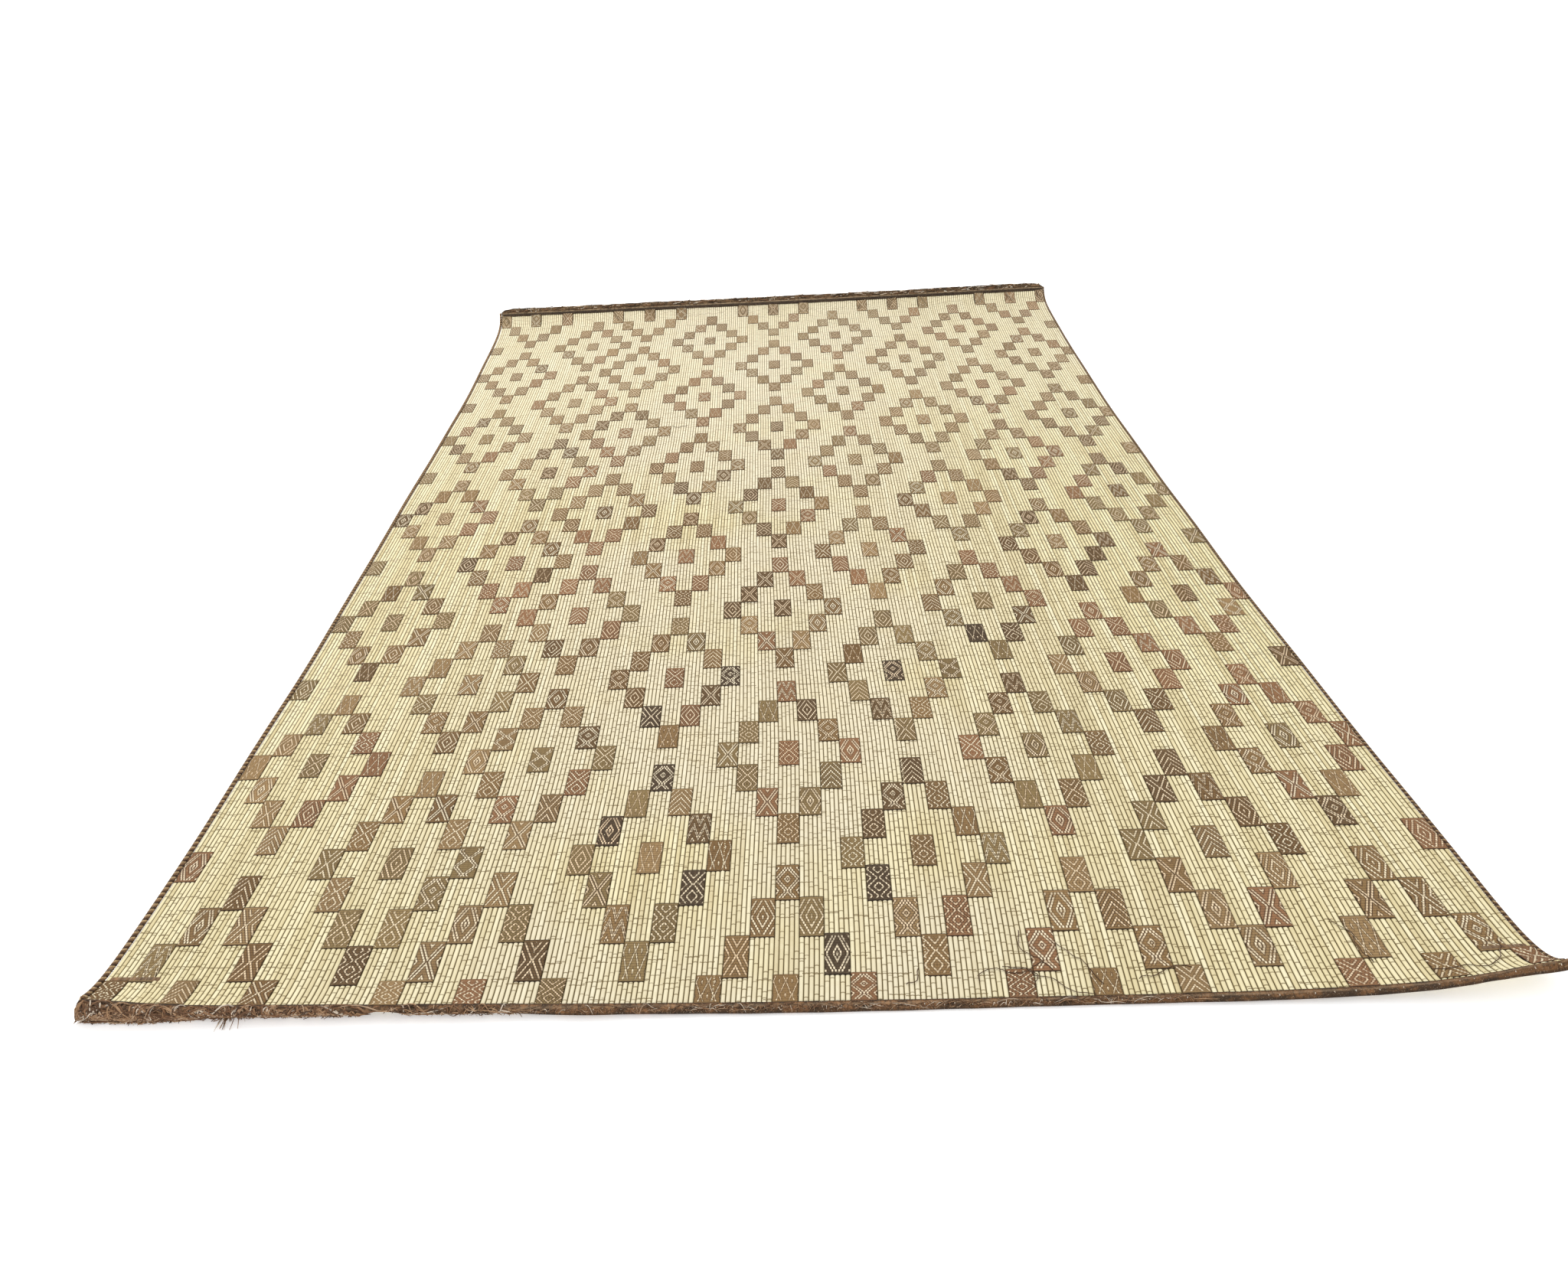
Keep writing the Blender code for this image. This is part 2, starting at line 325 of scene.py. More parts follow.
front_rows = [0.0, 0.0025, 0.008, 0.018, 0.032, 0.05, 0.075, 0.11, 0.16]
middle_rows = np.linspace(0.25, REED_LENGTH - 0.62, 20).tolist()
back_rows = [REED_LENGTH - d for d in (0.5, 0.4, 0.32, 0.26, 0.21, 0.17, 0.14, 0.115, 0.092, 0.072, 0.055)]
back_rows += [REED_LENGTH - d for d in (0.04, 0.028, 0.017, 0.008, 0.0)]
ROWS = np.array(front_rows + middle_rows + back_rows)


def ridge_columns(ridge):
    reeds = [reed + across for reed in range(REEDS) for across, _ in ridge] + [float(REEDS)]
    lifts = [lift for _ in range(REEDS) for _, lift in ridge] + [ridge[0][1]]
    return np.array(reeds), np.array(lifts)


top_reeds, top_lifts = ridge_columns(RIDGE)
low_reeds, low_lifts = ridge_columns(UNDER)
own_height = chance.normal(0, REED_ROUGHNESS, REEDS + 1)
own_end = chance.uniform(-END_UNEVEN, END_UNEVEN, REEDS + 1)
print(len(top_reeds), "columns on top,", len(ROWS), "rows")


# %% Lay the ground
def ground_grid(reeds, lifts):
    number = np.minimum(reeds.astype(int), REEDS - 1)
    inside = (reeds % 1.0) > 0.0
    t = np.repeat(ROWS[:, None], len(reeds), 1)
    near_end = np.clip(1.0 - t / END_UNEVEN_REACH, 0.0, 1.0)
    t = t + near_end * np.where(inside, own_end[number], 0.0)
    lift = lifts + np.where(inside, own_height[number], 0.0)
    at_end = t < END_ROUNDED_REACH + own_end[number] * near_end
    lift = np.where(lifts > TOP_FROM_LIFT, lift - END_ROUNDED * at_end, lift)
    return lay(reeds[None, :], t, lift), np.stack(np.broadcast_arrays(reeds[None, :], t, 0.0), -1)


top_points, top_numbers = ground_grid(top_reeds, top_lifts)
low_points, low_numbers = ground_grid(low_reeds, low_lifts)
rows, wide = top_points.shape[:2]
narrow = low_points.shape[1]
low_start = rows * wide
faces = [grid_faces(rows, wide), grid_faces(rows, narrow, low_start, flip=True)]

# %% Close the ends and the sides
per_top = len(RIDGE)
per_low = len(UNDER)
for row, turned in ((0, False), (rows - 1, True)):
    for reed in range(REEDS):
        top = [row * wide + reed * per_top + i for i in range(per_top + 1)]
        low = [low_start + row * narrow + reed * per_low + i for i in range(per_low + 1)]
        ring = low + top[::-1]
        faces.append(tuple(ring[::-1] if turned else ring))
for column_top, column_low, turned in ((0, 0, False), (wide - 1, narrow - 1, True)):
    for row in range(rows - 1):
        a = row * wide + column_top
        b = low_start + row * narrow + column_low
        quad = (a, a + wide, b + narrow, b)
        faces.append(quad[::-1] if turned else quad)
ground = make_piece(
    "reed_weave",
    np.concatenate([top_points.reshape(-1, 3), low_points.reshape(-1, 3)]),
    faces,
    {"place": np.concatenate([top_numbers.reshape(-1, 3), low_numbers.reshape(-1, 3)])},
)
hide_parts("reed_ground")

# %% [markdown]
# ## Where the leather blocks lie
# The pattern is one stepped lozenge, twelve blocks round a thirteenth, set in two interleaved lattices.
# The outer lozenges are cut off by the edges. Counting it out by rule keeps every block on its own five
# reeds, as the weaver had to. No weaver beats every row to the same depth, so the rows are a little early
# or late.

# %% Count out the lozenges
BLOCK_REEDS = 5
LOZENGE_REACH = 3
A_CENTRES = (17.5, 71.5, 131.5, 190.5, 248.5)
B_CENTRES = (47.5, 101.5, 160.5, 219.5)
SIDE_TIPS = (2.5, 262.5)
Late = namedtuple("Late", "t late")
ROWS_LATE = (
    Late(0.00, 0.000),
    Late(0.079, -0.021),
    Late(0.16, -0.010),
    Late(0.24, 0.000),
    Late(0.30, 0.005),
    Late(0.70, 0.009),
    Late(1.00, -0.003),
    Late(1.60, -0.015),
    Late(1.90, -0.020),
    Late(2.20, -0.018),
    Late(2.60, -0.008),
    Late(2.90, 0.000),
    Late(3.20, 0.008),
    Late(3.50, 0.013),
    Late(3.79, -0.006),
    Late(3.87, 0.000),
)
LOZENGE = [
    (dx, dy)
    for dx in range(-LOZENGE_REACH, LOZENGE_REACH + 1)
    for dy in range(-LOZENGE_REACH, LOZENGE_REACH + 1)
    if abs(dx) + abs(dy) in (0, LOZENGE_REACH)
]
FRONT_MIDDLE_T = 0.48 * BLOCK_LENGTH
SIDES_LATE = 0.011


def woven_at(t, reed):
    """Where a row that was meant to lie at t has really been beaten to. The sides lag near the front."""
    late = np.interp(t, [row.t for row in ROWS_LATE], [row.late for row in ROWS_LATE])
    from_side = np.minimum(reed, REEDS - reed)
    return t + late + SIDES_LATE * (1.0 - smooth_step(10.0, 65.0, from_side)) * np.exp(-((t / 0.8) ** 2))


places = {"a": [], "b": []}
for half in range(ROW_STEPS + 1):
    for centre in A_CENTRES:
        for dx, dy in LOZENGE:
            t = FRONT_MIDDLE_T + half * ROW_STEP + dy * BLOCK_LENGTH
            if -0.1 * BLOCK_LENGTH < t < REED_LENGTH + 0.1 * BLOCK_LENGTH:
                places["a"].append((centre + dx * BLOCK_REEDS, t))
for half in range(ROW_STEPS):
    t_middle = FRONT_MIDDLE_T + (half + 0.5) * ROW_STEP
    for centre in B_CENTRES:
        places["b"] += [(centre + dx * BLOCK_REEDS, t_middle + dy * BLOCK_LENGTH) for dx, dy in LOZENGE]
    places["b"] += [(tip, t_middle) for tip in SIDE_TIPS]
print(len(places["a"]), "blocks in the first lattice,", len(places["b"]), "in the second")

# %% [markdown]
# ## The leather blocks
# A block is woven from some sixteen narrow thongs that pack tightly over five reeds. In the mesh each
# thong is a rib across the block, and over each reed the ribs rise in turn, as in plain weave. The plate
# is closed below, inside the ground. Each block is given a tone and one of the stitched motifs.

# %% Motifs and tones
# A motif is a set of folded lines: how often they fold across, how often they repeat along and with what
# phase, how far they swing, where the line is, how far apart a double line is, and how often lines repeat.
Motif = namedtuple("Motif", "folds repeats phase swing line double period share")
MOTIFS = (
    Motif(1, 1.0, 0.50, 0.95, 0.00, 0.00, 0.46, 5),
    Motif(1, 1.0, 0.50, 0.90, 0.10, 0.13, 0.80, 5),
    Motif(1, 1.5, 0.12, 0.90, 0.06, 0.13, 0.84, 5),
    Motif(1, 1.5, 0.62, 0.90, 0.05, 0.00, 0.50, 5),
    Motif(1, 2.0, 0.25, 0.85, 0.08, 0.00, 0.52, 4),
    Motif(1, 1.0, 0.00, 1.00, 0.03, 0.14, 0.90, 4),
    Motif(1, 1.0, 0.00, 1.00, 0.03, 0.00, 0.50, 4),
    Motif(2, 1.0, 0.25, 0.90, 0.05, 0.00, 0.90, 4),
    Motif(1, 0.5, 0.00, 2.60, 0.10, 0.00, 0.50, 3),
    Motif(2, 0.5, 0.00, 2.40, 0.10, 0.14, 1.10, 2),
    Motif(1, 2.0, 0.25, 0.80, 0.10, 0.13, 3.00, 1),
)
Tone = namedtuple("Tone", "red green blue weight")
TONES = (
    Tone(0.275, 0.168, 0.072, 6),
    Tone(0.305, 0.156, 0.076, 5),
    Tone(0.262, 0.182, 0.080, 6),
    Tone(0.200, 0.116, 0.048, 3),
    Tone(0.335, 0.216, 0.100, 3),
    Tone(0.145, 0.088, 0.040, 2),
)
BLACK_HIDE = (0.080, 0.056, 0.034)
BLACK_UP_TO = 1.3
BLACK_SHARE = 0.10
BLACK_REEDS = (85.0, 190.0)
WEFTS = 16
ACROSS = np.array([0.0, 0.0, 0.1, 0.3, 0.5, 0.7, 0.9, 1.0, 1.0])
ALONG = np.concatenate([[0.0], np.linspace(0.0, 1.0, 2 * WEFTS + 1), [1.0]])
BLOCK_TOP = 0.0077
BLOCK_SKIRT = 0.0045
WEFT_RELIEF = 0.00035
BLOCK_INSET = 0.04
BLOCK_OVERLAP = 1.08
print(len(MOTIFS), "motifs and", len(TONES), "tones of leather")


# %% Lay one lattice of blocks
def block_relief():
    """Height of the top of a block, by row and column."""
    column = np.arange(len(ACROSS))
    row = np.arange(len(ALONG))[:, None]
    rib = np.where(row % 2 == 0, WEFT_RELIEF, -WEFT_RELIEF)
    over = np.where((row // 2 + column) % 2 == 0, 0.6, -0.2) * WEFT_RELIEF
    edge = np.where((column == 1) | (column == len(ACROSS) - 2), -0.0007, 0.0)
    height = BLOCK_TOP + rib + over + edge
    height[:, [0, -1]] = BLOCK_SKIRT
    height[[0, -1], :] = BLOCK_SKIRT
    return height


def tones_near(count, spots):
    """Neighbouring blocks often came from the same hide, so tones change from lozenge to lozenge."""
    weights = np.array([tone.weight for tone in TONES], float)
    hides = chance.choice(len(TONES), size=400, p=weights / weights.sum())
    own = chance.choice(len(TONES), size=count, p=weights / weights.sum())
    patch = (np.floor(spots[:, 0] / 27.0) * 17 + np.floor(spots[:, 1] / 0.42) * 5).astype(int) % 400
    return np.where(chance.random(count) < 0.55, hides[patch], own)


def lay_blocks(name, spots):
    spots = np.array(spots)
    count = len(spots)
    columns = len(ACROSS)
    lines = len(ALONG)
    slack = chance.normal(0, 0.0009, (count, 2))
    half = BLOCK_LENGTH / 2 * BLOCK_OVERLAP
    first = np.maximum(woven_at(spots[:, 1] - half, spots[:, 0]) + slack[:, 0], 0.0)
    last = np.minimum(woven_at(spots[:, 1] + half, spots[:, 0]) + slack[:, 1], REED_LENGTH)
    u = ACROSS[None, None, :]
    v = ALONG[None, :, None]
    left = spots[:, 0][:, None, None] - BLOCK_REEDS / 2 + BLOCK_INSET
    reed = np.clip(left + u * (BLOCK_REEDS - 2 * BLOCK_INSET) + 0 * v, BLOCK_INSET, REEDS - BLOCK_INSET)
    t = first[:, None, None] + v * (last - first)[:, None, None] + 0 * u
    lift = np.broadcast_to(block_relief(), (count, lines, columns))
    points = lay(reed, t, lift)
    size = lines * columns
    one = grid_faces(lines, columns)
    quads = (one[None] + size * np.arange(count)[:, None, None]).reshape(-1, 4)
    grid = np.arange(size).reshape(lines, columns)
    rim = np.concatenate([grid[0, :-1], grid[:-1, -1], grid[-1, :0:-1], grid[:0:-1, 0]])[::-1]
    rims = rim[None] + size * np.arange(count)[:, None]
    number = np.broadcast_to(np.arange(count)[:, None, None] * 0.137, reed.shape)
    block = np.stack(np.broadcast_arrays(u, v, number), -1)
    shares = np.array([motif.share for motif in MOTIFS], float)
    choice = chance.choice(len(MOTIFS), size=count, p=shares / shares.sum())
    motif = np.array(MOTIFS)[choice]
    tone = np.array(TONES)[tones_near(count, spots)][:, :3] * chance.normal(1.0, 0.07, (count, 1))
    in_middle = (spots[:, 0] > BLACK_REEDS[0]) & (spots[:, 0] < BLACK_REEDS[1])
    black = (chance.random(count) < BLACK_SHARE) & (spots[:, 1] < BLACK_UP_TO) & in_middle
    tone[black] = BLACK_HIDE
    spread = (count, lines, columns, 3)
    numbers = {
        "block": block,
        "motif": np.broadcast_to(motif[:, None, None, :3], spread),
        "lines": np.broadcast_to(motif[:, None, None, 3:6], spread),
        "period": np.broadcast_to(motif[:, None, None, 6:7], spread),
        "tone": np.broadcast_to(tone[:, None, None, :], spread),
        "place": np.stack([reed, t, lift], -1),
    }
    return make_piece(name, points, [quads, rims], numbers)


halves = {key: len(value) // 2 for key, value in places.items()}
blocks = []
for key in ("a", "b"):
    blocks.append(lay_blocks(f"leather_blocks_{key}1", places[key][: halves[key]]))
    blocks.append(lay_blocks(f"leather_blocks_{key}2", places[key][halves[key] :]))

# %% [markdown]
# ## Plain bars
# Beside the two front corner blocks a thin band of plain leather crosses the reeds. It has no weave to
# show, so it is a small grid whose rim dips into the ground. It borrows the finish of the front strip.

# %% Lay a bar by each corner block
BARS = (
    ((0.3, 12.0), (0.070, 0.082)),
    ((256.0, 264.7), (0.070, 0.082)),
)
BAR_COLUMNS = 12
BAR_ROWS = 6
BAR_TOP = 0.0083
BAR_FINISH_SHARE = 0.3


def plain_bar(reeds, rows):
    """A thin band of plain leather over a few reeds. Gives its points and their numbers."""
    reed, t = np.meshgrid(np.linspace(*reeds, BAR_COLUMNS), np.linspace(*rows, BAR_ROWS))
    inner = np.zeros_like(reed, dtype=bool)
    inner[1:-1, 1:-1] = True
    lift = np.where(inner, BAR_TOP, BLOCK_SKIRT)
    return lay(reed, t, lift), np.stack([reed, np.full_like(t, BAR_FINISH_SHARE), lift], -1)


bar_parts = [plain_bar(reeds, rows) for reeds, rows in BARS]
bar_size = BAR_ROWS * BAR_COLUMNS
bar_faces = [grid_faces(BAR_ROWS, BAR_COLUMNS, start=bar_size * index) for index in range(len(BARS))]
bars = make_piece(
    "plain_bars",
    np.stack([points for points, _ in bar_parts]),
    bar_faces,
    {"place": np.stack([numbers for _, numbers in bar_parts])},
)

# %% [markdown]
# ## The edge strips
# The reeds' ends are covered by a folded strip of goat leather. At the front it is worn to different
# widths, and on the left it hangs to the floor. A cross-section is carried along the ends, reed by reed,
# and its outer edge is made uneven, because a hand-cut strip never runs true.

# %% Widths of the front strip
Width = namedtuple("Width", "reed width")
FRONT_BINDING = (
    Width(0, 0.024),
    Width(20, 0.026),
    Width(51, 0.023),
    Width(57, 0.013),
    Width(62, 0.024),
    Width(78, 0.023),
    Width(100, 0.019),
    Width(187, 0.018),
    Width(265, 0.022),
)
BACK_BINDING_WIDTH = 0.026


def binding_width(reed):
    reeds, widths = zip(*FRONT_BINDING)
    return np.interp(reed, reeds, widths)


print("the front strip is", binding_width(57.0), "m wide at its notch")

# %% Sections of the strips
# Each point is a share of the strip's width past the reeds' ends, and a height over the underside.
FRONT_SECTION = (
    (-0.06, 0.0062),
    (-0.06, 0.0078),
    (0.04, 0.0080),
    (0.18, 0.0074),
    (0.35, 0.0074),
    (0.52, 0.0068),
    (0.68, 0.0068),
    (0.82, 0.0060),
    (0.94, 0.0044),
    (1.0, 0.0026),
    (0.97, 0.0006),
    (0.02, 0.0004),
    (0.01, 0.0060),
)
BACK_SECTION = (
    (-0.04, 0.0004),
    (-0.04, 0.0060),
    (-0.62, 0.0066),
    (-0.64, 0.0084),
    (-0.52, 0.0096),
    (-0.30, 0.0102),
    (-0.12, 0.0092),
    (0.04, 0.0088),
    (0.25, 0.0098),
    (0.50, 0.0104),
    (0.75, 0.0096),
    (0.93, 0.0070),
    (1.0, 0.0035),
    (0.95, 0.0006),
)
print(len(FRONT_SECTION), "points in the front section,", len(BACK_SECTION), "in the back one")


# %% A slow uneven line
def wander(reed, seed, rough):
    """A slow uneven line along the reeds."""
    dice = np.random.default_rng(seed)
    total = np.zeros_like(reed, dtype=float)
    for step in (31.0, 13.0, 5.5, 2.3, 1.1):
        total += dice.normal(0, 1) * np.sin(reed / step + dice.uniform(0, 6.3)) * (step / 31.0) ** 0.35
    return rough * total


# %% Let the front strip hang
# The left corner is worn the most: there the strip hangs to the floor, apart from a notch.
DROOP_TO_REED = 66.0
DROOP_GONE_AT_REED = 96.0
TIP_DROOP = 0.018
NOTCH_REED = 57.0
NOTCH_REEDS = 3.2
NOTCH_SHARE = 0.62
CORNER_OUT = 0.015
TIP_OUT = 0.012
CORNER_TUCK = 0.80
MORE_TUCK = 0.40
FOOT_LIFT = 0.0004
FOOT_FLATNESS = 0.4


def hang(reed, out, lift):
    """A point of the front strip. On the left it hangs to the floor, and at the right tip it droops."""
    width = binding_width(reed)
    share = np.clip(out / width, 0.0, 1.2)
    slim = 1.0 - 0.12 * smooth_step(90.0, 120.0, reed) - 0.14 * smooth_step(165.0, 205.0, reed)
    hanging = 1.0 - smooth_step(DROOP_TO_REED, DROOP_GONE_AT_REED, reed)
    low = hanging * smooth_step(0.1, 1.0, share)
    beyond = np.maximum(out - width, 0.0)
    tuck = CORNER_TUCK + MORE_TUCK * smooth_step(12.0, 30.0, reed)
    points = lay(reed, -np.minimum(out, width) * slim * (1.0 - tuck * low) - beyond, lift)
    drop = low * (1.0 - NOTCH_SHARE * np.exp(-(((reed - NOTCH_REED) / NOTCH_REEDS) ** 4)))
    points[..., 2] = points[..., 2] * (1.0 - drop) + (FOOT_FLATNESS * lift + FOOT_LIFT) * drop
    points[..., 1] -= lift * hanging * smooth_step(0.0, 0.5, share)
    points[..., 0] -= CORNER_OUT * low * (1.0 - smooth_step(0.0, 10.0, reed))
    points[..., 0] += TIP_OUT * smooth_step(256.0, 265.0, reed)
    droop = TIP_DROOP * smooth_step(252.0, 265.0, reed) * smooth_step(0.1, 1.0, share)
    points[..., 2] = np.maximum(points[..., 2] - droop, FOOT_FLATNESS * lift)
    return points


def overlap_on_reeds(reed):
    """How far the front strip reaches over the reeds, as a share of its width."""
    corner = 1.0 - smooth_step(2.0, 22.0, reed)
    left = 1.0 - smooth_step(60.0, 90.0, reed)
    return 0.06 + 0.08 * left + 0.32 * corner


# %% Fold a strip over the ends
def edge_strip(name, end_t, outward, section, widths, node, seed):
    reed = np.linspace(0.0, REEDS, 3 * REEDS + 1)
    width = widths + wander(reed, seed, 0.0009 if outward < 0 else 0.0014)
    section = np.array(section)
    share = np.broadcast_to(section[None, :, 0], (len(reed), len(section))).copy()
    if outward < 0:
        share[:, :2] = -overlap_on_reeds(reed)[:, None]
    out = width[:, None] * share
    ragged = wander(reed, seed + 1, 0.0003)[:, None] + wander(reed * 3.7, seed + 2, 0.0002)[:, None]
    lift = section[None, :, 1] + ragged * (section[None, :, 1] > 0.001)
    if outward < 0:
        points = hang(*np.broadcast_arrays(reed[:, None], out, lift))
    else:
        points = lay(reed[:, None], end_t + out, lift)
    count, size = points.shape[:2]
    index = np.arange(count * size).reshape(count, size)
    after = np.roll(index, -1, axis=1)
    quads = np.stack([index[:-1], index[1:], after[1:], after[:-1]], -1).reshape(-1, 4)
    ends = [tuple(int(i) for i in index[0]), tuple(int(i) for i in index[-1][::-1])]
    if outward > 0:
        quads = quads[:, ::-1]
        ends = [end[::-1] for end in ends]
    numbers = np.stack(np.broadcast_arrays(reed[:, None], section[None, :, 0], lift), -1)
    piece = make_piece(name, points, [quads, *ends], {"place": numbers})
    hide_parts(node)
    return piece


all_reeds = np.linspace(0.0, REEDS, 3 * REEDS + 1)
front_strip = edge_strip(
    "front_edge_strip", 0.0, -1.0, FRONT_SECTION, binding_width(all_reeds), "front_binding", 21
)
TAPER_REEDS = (0.0, 1.5, 6.0, REEDS - 5.0, REEDS - 1.5, REEDS)
TAPER_SHARES = (0.35, 0.75, 1.0, 1.0, 0.75, 0.35)
BACK_TRIM = 0.9
back_widths = BACK_BINDING_WIDTH * BACK_TRIM * np.interp(all_reeds, TAPER_REEDS, TAPER_SHARES)
back_strip = edge_strip("back_edge_strip", REED_LENGTH, 1.0, BACK_SECTION, back_widths, "back_binding", 31)

# %% [markdown]
# ## Stitches in the edge strips
# Pale thread holds the folded strips. Each stitch is a short tube that dips into the leather at both ends.
# Little loops at uneven steps look more like handwork than a dotted line in the finish.


# %% Sew along both ends
THREAD_RADIUS = 0.0007


def stitches(end_t, outward, share, height, step, length, seed):
    dice = np.random.default_rng(seed)
    made = []
    reed = 1.0
    while reed < REEDS - 1:
        width = binding_width(reed) if outward < 0 else BACK_BINDING_WIDTH
        out = width * (share + dice.uniform(-0.08, 0.08))
        lean = dice.uniform(-0.25, 0.25) * length
        if dice.random() < 0.8:
            along = np.linspace(-0.5, 0.5, 4)
            reeds = reed + lean / REED_PITCH * along
            lift = height + np.array([-0.0008, 0.0006, 0.0006, -0.0008])
            reach = out + along * length
            path = hang(reeds, reach, lift) if outward < 0 else lay(reeds, end_t + reach, lift)
            made.append((path, THREAD_RADIUS, 1.0, dice.uniform(0.75, 1.0)))
        reed += step * dice.uniform(0.6, 1.5)
    return made


front_sewing = stitches(0.0, -1.0, 0.55, 0.0069, 2.6, 0.0035, 41)
back_sewing = stitches(REED_LENGTH, 1.0, 0.75, 0.0097, 1.7, 0.0045, 43)
sewing = tube_piece("strip_stitches", front_sewing + back_sewing, sides=5)

# %% [markdown]
# ## Frayed thongs
# At the front left the strip has worn into a mat of thongs, with one tuft that sticks out, and finer hairs
# follow it further along. A thong is a thin flattened tube. It is laid with the same function as the strip,
# so that it runs sideways over the leather and sinks to the floor where the strip does.


# %% Draw thongs over the strip
THONG_LIFT = 0.0092
THONG_ARCH = 0.0030
THONG_LOWER = 0.0016
THONG_TAPER = np.array([0.7, 1.0, 1.0, 0.95, 0.85, 0.7, 0.4])
THONG_FLATNESS = 0.7


def thong(reed, start, reach, lean, radius, tone, dice):
    """One strand. It runs sideways over the strip, sinks towards the floor and ends there."""
    share = np.linspace(0.0, 1.0, len(THONG_TAPER))
    wave = dice.normal(0, 0.10) * np.sin(share * math.pi) + dice.normal(0, 0.06) * np.sin(share * 7.0)
    reeds = np.clip(reed + lean / REED_PITCH * share, 0.0, REEDS)
    width = binding_width(reeds)
    out = width * (start + wave) + (width * (1.0 - start) + reach) * share**1.5 * dice.uniform(0.5, 1.25)
    lift = THONG_LIFT + THONG_ARCH * np.sin(share * math.pi) * dice.uniform(-0.3, 1.2)
    lift = lift - THONG_LOWER * smooth_step(DROOP_TO_REED, DROOP_GONE_AT_REED, reed)
    path = hang(reeds, out, lift)
    path[:, 2] = np.maximum(path[:, 2], radius)
    return path, radius * THONG_TAPER, THONG_FLATNESS, tone


Fray = namedtuple("Fray", "first last step reach lean thick")
FRAYS = (
    Fray(0.2, 15.0, 0.044, 0.0050, 0.040, 0.0019),
    Fray(15.0, 27.0, 0.065, 0.0035, 0.036, 0.0016),
    Fray(27.0, 29.5, 0.060, 0.0220, 0.010, 0.0012),
    Fray(27.0, 52.0, 0.060, 0.0045, 0.036, 0.0017),
    Fray(58.0, 80.0, 0.080, 0.0040, 0.030, 0.0012),
    Fray(80.0, 205.0, 0.30, 0.0016, 0.020, 0.0007),
)
STRAND_TONES = (0.03, 0.08, 0.14, 0.22, 0.30, 0.38, 0.45, 0.52, 0.62, 0.85)


def frayed_thongs():
    dice = np.random.default_rng(7)
    made = []
    for fray in FRAYS:
        for reed in np.arange(fray.first, fray.last, fray.step):
            start = dice.uniform(0.05, 0.9)
            reach = fray.reach * dice.uniform(0.3, 1.2)
            lean = dice.normal(0, fray.lean)
            thick = fray.thick * dice.uniform(0.5, 1.1)
            made.append(thong(reed, start, reach, lean, thick, dice.choice(STRAND_TONES), dice))
    return made


fringe = tube_piece("frayed_thongs", frayed_thongs(), sides=5)
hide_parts("front_fringe")

# %% [markdown]
# ## The side cords
# Along each side runs a cord of three leather plies twisted together, dark and pale, which gives the
# barber-pole flecks. Each ply is a tube along a helix round the cord's own line, so the twist is real
# shape and not only colour.

# %% Twist three plies
CORD_RADIUS = 0.0055
PLY_RADIUS = 0.0027
PLY_OFFSET = 0.0026
SAMPLES_A_TURN = 8
LEFT_START = 0.012
PAST_END = 0.004


def cord_plies(reed, side, size, pitch, tones, seed):
    start = 0.0 if side > 0 else LEFT_START
    finish = REED_LENGTH + PAST_END
    count = int((finish - start) / pitch * SAMPLES_A_TURN)
    t = np.linspace(start, finish, count)
    outside = side * (size * CORD_RADIUS + 0.0004) + wander(t * 30, seed, 0.0003)
    line = lay(reed, t, size * CORD_RADIUS + 0.0012, outside)
    across, up = tube_frames(line)
    made = []
    for ply, tone in enumerate(tones):
        angle = side * (2 * math.pi * (t - start) / pitch) + ply * 2 * math.pi / len(tones)
        angle = angle + wander(t * 40, seed + 1, 0.12)
        helix = line + size * PLY_OFFSET * (np.cos(angle)[:, None] * across + np.sin(angle)[:, None] * up)
        made.append((helix, size * PLY_RADIUS, 1.0, tone))
    return made


left_plies = cord_plies(0.0, -1.0, 1.0, 0.0145, (0.06, 0.40, 0.68), 51)
right_plies = cord_plies(REEDS, 1.0, 0.72, 0.0125, (0.04, 0.60, 0.20), 61)
left_cord = tube_piece("twisted_cord_left", left_plies, sides=5)
right_cord = tube_piece("twisted_cord_right", right_plies, sides=5)
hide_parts("left_cord")
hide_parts("right_cord")

# %% [markdown]
# ## Loose threads and hairs
# A few threads have come out of the weave, most of them near the front edge. Each is a fine tube that
# wanders over the mat on a slow random walk and ends on it. The back strip is covered with short hairs.
# They are thin tubes too, so both kinds are one piece.


# %% Let threads wander
LOOSE_STEPS = 26
LOOSE_RADIUS = 0.0008
LOOSE_TONE = 0.05
LOOSE_LIFT = 0.0083


def loose_thread(reed, t, length, heading, seed):
    dice = np.random.default_rng(seed)
    turn = heading + np.cumsum(dice.normal(0, 0.28, LOOSE_STEPS))
    step = length / LOOSE_STEPS
    reeds = reed + np.cumsum(np.cos(turn)) * step / REED_PITCH
    along = t + np.cumsum(np.sin(turn)) * step
    heights = LOOSE_LIFT + 0.0012 * np.abs(np.sin(np.linspace(0, 9, LOOSE_STEPS) + seed))
    return lay(reeds, np.maximum(along, -0.02), heights), LOOSE_RADIUS, 1.0, LOOSE_TONE


threads = [
    loose_thread(173.0, 0.06, 0.16, 0.1, 3),
    loose_thread(182.0, 0.05, 0.12, 2.6, 5),
    loose_thread(168.0, 0.03, 0.14, 1.3, 17),
    loose_thread(190.0, 0.02, 0.12, 1.9, 19),
    loose_thread(196.0, 0.03, 0.10, 0.6, 23),
    loose_thread(178.0, 0.02, 0.09, 1.6, 25),
    loose_thread(154.5, 0.03, 0.05, 2.0, 8),
    loose_thread(245.0, 0.03, 0.18, 0.3, 9),
    loose_thread(237.0, 0.05, 0.12, 1.2, 12),
    loose_thread(89.0, 2.60, 0.07, 0.2, 14),
]
print(len(threads), "loose threads")


